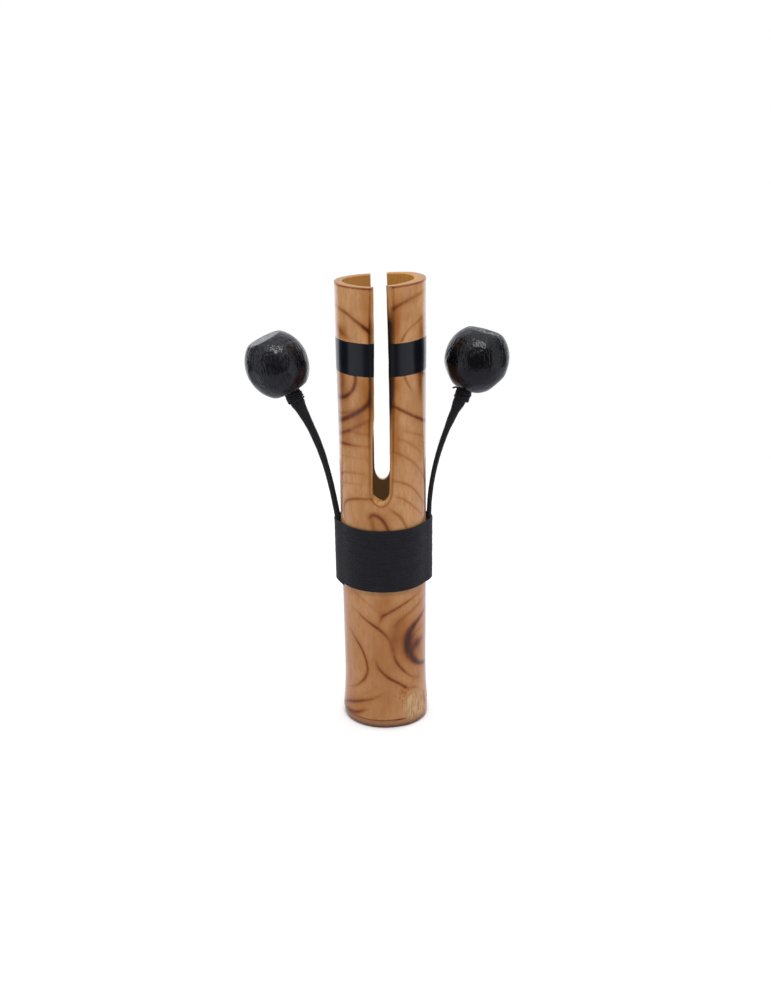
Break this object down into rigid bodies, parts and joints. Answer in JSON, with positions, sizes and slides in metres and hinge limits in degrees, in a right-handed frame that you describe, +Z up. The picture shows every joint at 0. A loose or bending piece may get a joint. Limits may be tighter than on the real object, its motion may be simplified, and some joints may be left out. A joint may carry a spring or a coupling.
{
  "type": "bamboo clapper",
  "caption": "Hand clapper: a slit bamboo tube with wooden beads on springy thread-wrapped stems lashed to its waist, which knock on the tube when it is shaken.",
  "frame": {"origin": "on the tube's axis at the flat of its foot", "axes": "+Z up the tube, +X towards the right stem, both stems in the plane y = 0, +Y to the back"},
  "size_m": [0.1127, 0.0399, 0.2005],
  "materials": {
    "bamboo": "scorched in swirls and lacquered, with a gloss black stripe near the top",
    "binding_thread": "close-wound matt black thread",
    "stem_thread": "close-wound matt black thread",
    "cane": "plain split cane",
    "bead_lacquer": "black lacquer, satin gloss, over turned wood"
  },
  "bodies": {
    "handle": {"bamboo_tube": "bamboo", "waist_binding": "binding_thread", "left_stem_core": "cane", "right_stem_core": "cane", "left_stem_whipping": "stem_thread", "right_stem_whipping": "stem_thread"},
    "left_striker": {"left_neck_whipping": "stem_thread", "left_bead": "bead_lacquer"},
    "right_striker": {"right_neck_whipping": "stem_thread", "right_bead": "bead_lacquer"}
  },
  "joints": [
    {"name": "left_stem_flex", "type": "hinge", "parent": "handle", "child": "left_striker", "pos_m": [-0.0234, 0, 0.113], "axis": [0, 1, 0], "range_deg": [-25, 12.2], "stiffness_Nm_per_rad": 0.027, "springref_deg": 3.15, "deforming": ["left_stem_core", "left_stem_whipping"]},
    {"name": "right_stem_flex", "type": "hinge", "parent": "handle", "child": "right_striker", "pos_m": [0.022, 0, 0.113], "axis": [0, -1, 0], "range_deg": [-25, 7.8], "stiffness_Nm_per_rad": 0.027, "springref_deg": 2.98, "deforming": ["right_stem_core", "right_stem_whipping"]}
  ]
}
